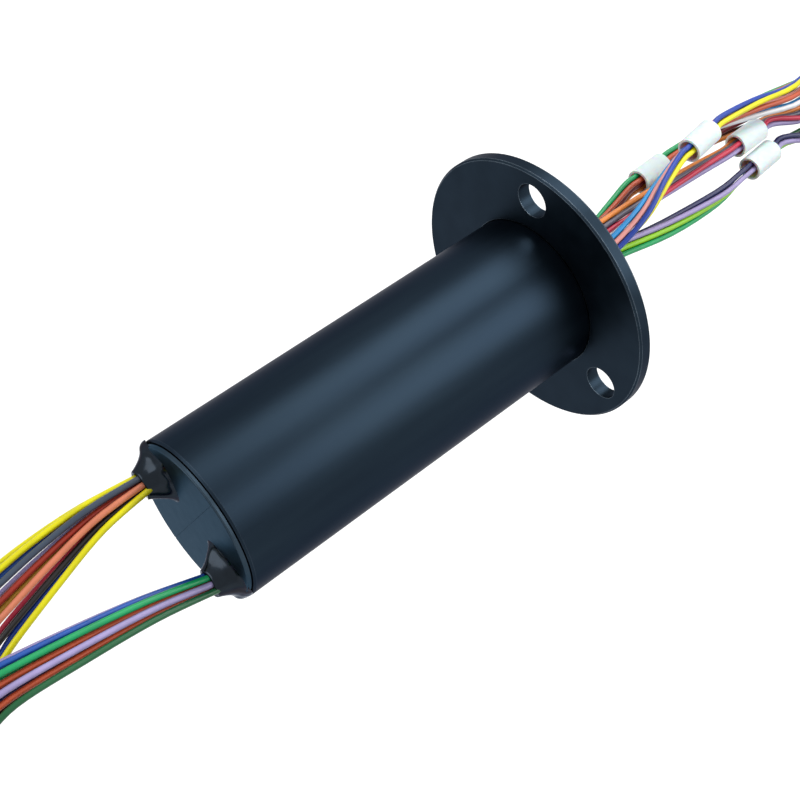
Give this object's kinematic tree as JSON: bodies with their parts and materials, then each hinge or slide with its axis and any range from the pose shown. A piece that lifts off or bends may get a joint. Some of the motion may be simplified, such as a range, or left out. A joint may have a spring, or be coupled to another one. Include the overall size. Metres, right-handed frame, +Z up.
{
  "type": "slip ring",
  "caption": "Capsule slip ring: cylindrical housing with a three-hole mounting flange, a turning nose, and coloured leads from both ends.",
  "frame": {"origin": "centre of the flange's body-side face, on the axis of rotation", "axes": "+X along the axis of rotation from the housing towards the rotor nose, +Z up through one fixing hole"},
  "size_m": [0.2517, 0.045, 0.0451],
  "materials": {
    "anodised_black": "satin black anodised",
    "cap_plastic": "satin slate grey",
    "epoxy": "glossy black epoxy",
    "black_plastic": "matte",
    "steel": "ground",
    "cage_brass": "plain",
    "gold_alloy": "bright gold alloy",
    "circuit_board": "satin",
    "white_sleeve": "soft white",
    "tie_plastic": "matte",
    "lead_insulation": "satin, many colours"
  },
  "bodies": {
    "stator": {"housing_tube": "anodised_black", "mounting_flange": "anodised_black", "end_cap": "cap_plastic", "exit_glue_upper": "epoxy", "exit_glue_lower": "epoxy", "bearing_plate": "black_plastic", "preload_washer": "steel", "front_retaining_ring": "steel", "front_outer_race": "steel", "rear_outer_race": "steel", "brush_board_upper": "circuit_board", "brush_board_lower": "circuit_board", "brush_wires_upper": "gold_alloy", "brush_wires_lower": "gold_alloy", "stator_leads_upper": "lead_insulation", "stator_leads_lower": "lead_insulation", "stator_coil_upper": "lead_insulation", "stator_coil_lower": "lead_insulation", "stator_tie_upper": "tie_plastic", "stator_tie_lower": "tie_plastic"},
    "rotor": {"front_inner_race": "steel", "rear_inner_race": "steel", "rotor_shaft": "black_plastic", "shaft_circlip": "steel", "ring_carrier": "black_plastic", "end_collar": "steel", "nose_potting": "epoxy", "contact_rings_1": "gold_alloy", "contact_rings_2": "gold_alloy", "contact_rings_3": "gold_alloy", "contact_rings_4": "gold_alloy", "rotor_leads_1": "lead_insulation", "rotor_leads_2": "lead_insulation", "rotor_leads_3": "lead_insulation", "rotor_leads_4": "lead_insulation", "lead_sleeve_1": "white_sleeve", "lead_sleeve_2": "white_sleeve", "lead_sleeve_3": "white_sleeve", "lead_sleeve_4": "white_sleeve", "rotor_coil_1": "lead_insulation", "rotor_coil_2": "lead_insulation", "rotor_coil_3": "lead_insulation", "rotor_coil_4": "lead_insulation", "rotor_tie_1": "tie_plastic", "rotor_tie_2": "tie_plastic", "rotor_tie_3": "tie_plastic", "rotor_tie_4": "tie_plastic"},
    "front_cage": {"front_ball_cage": "cage_brass", "front_ball_set": "steel"},
    "rear_cage": {"rear_ball_cage": "cage_brass", "rear_ball_set": "steel"}
  },
  "joints": [
    {"name": "rotor_spin", "type": "hinge", "parent": "stator", "child": "rotor", "pos_m": [0, 0, 0], "axis": [1, 0, 0], "continuous": true},
    {"name": "front_cage_spin", "type": "hinge", "parent": "stator", "child": "front_cage", "pos_m": [0, 0, 0], "axis": [1, 0, 0], "continuous": true},
    {"name": "rear_cage_spin", "type": "hinge", "parent": "stator", "child": "rear_cage", "pos_m": [-0.058, 0, 0], "axis": [1, 0, 0], "continuous": true}
  ],
  "couplings": [
    {"joint": "front_cage_spin", "follows": "rotor_spin", "ratio": 0.4722},
    {"joint": "rear_cage_spin", "follows": "rotor_spin", "ratio": 0.4375}
  ]
}
